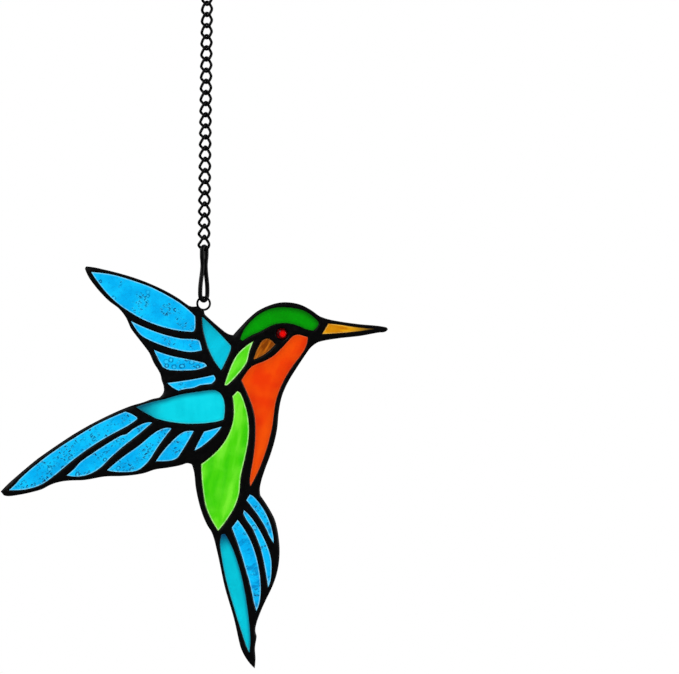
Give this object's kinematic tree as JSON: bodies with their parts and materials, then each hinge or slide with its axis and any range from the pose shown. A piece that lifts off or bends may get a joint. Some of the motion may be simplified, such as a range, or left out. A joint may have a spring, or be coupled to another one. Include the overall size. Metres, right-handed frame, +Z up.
{
  "type": "stained glass suncatcher",
  "caption": "Flat hummingbird of coloured glass panes held in black solder, hung from a soldered ring, a long link and a curb chain that ends in a ring at the top.",
  "frame": {"origin": "inner top of the top ring, where it bears on the hook that holds the suncatcher up", "axes": "+Z up along the chain, +X towards the bird's beak, -Y towards the viewer in the picture"},
  "size_m": [0.1656, 0.0092, 0.3052],
  "materials": {
    "blue_glass": "textured transparent sheet glass with seeds and ripples",
    "turquoise_glass": "smooth translucent sheet glass",
    "lime_glass": "streaky translucent sheet glass",
    "green_glass": "smooth translucent sheet glass",
    "brown_glass": "streaky translucent sheet glass",
    "orange_glass": "smooth translucent sheet glass with soft streaks",
    "amber_glass": "translucent sheet glass",
    "red_glass": "polished round bead",
    "black_solder": "rounded solder beads with black patina, satin",
    "black_wire": "blackened wire, satin"
  },
  "bodies": {
    "root": {"back_wing_feather_1": "blue_glass", "back_wing_feather_2": "blue_glass", "back_wing_feather_3": "blue_glass", "back_wing_feather_4": "blue_glass", "back_wing_shoulder": "turquoise_glass", "front_wing_shoulder": "turquoise_glass", "front_wing_feather_1": "blue_glass", "front_wing_feather_2": "blue_glass", "front_wing_feather_3": "blue_glass", "front_wing_feather_4": "blue_glass", "front_wing_feather_5": "blue_glass", "crown": "green_glass", "cheek": "brown_glass", "nape": "lime_glass", "throat": "orange_glass", "back": "lime_glass", "beak": "amber_glass", "eye": "red_glass", "tail_long": "turquoise_glass", "tail_feather_1": "blue_glass", "tail_feather_2": "blue_glass", "tail_feather_3": "blue_glass", "solder_web": "black_solder", "hanging_ring": "black_wire", "hook_link": "black_wire", "chain_link_01": "black_wire", "chain_link_02": "black_wire", "chain_link_03": "black_wire", "chain_link_04": "black_wire", "chain_link_05": "black_wire", "chain_link_06": "black_wire", "chain_link_07": "black_wire", "chain_link_08": "black_wire", "chain_link_09": "black_wire", "chain_link_10": "black_wire", "chain_link_11": "black_wire", "chain_link_12": "black_wire", "chain_link_13": "black_wire", "chain_link_14": "black_wire", "chain_link_15": "black_wire", "chain_link_16": "black_wire", "chain_link_17": "black_wire", "chain_link_18": "black_wire", "chain_link_19": "black_wire", "chain_link_20": "black_wire", "chain_link_21": "black_wire", "chain_link_22": "black_wire", "chain_link_23": "black_wire", "chain_link_24": "black_wire", "top_ring": "black_wire"}
  },
  "joints": []
}
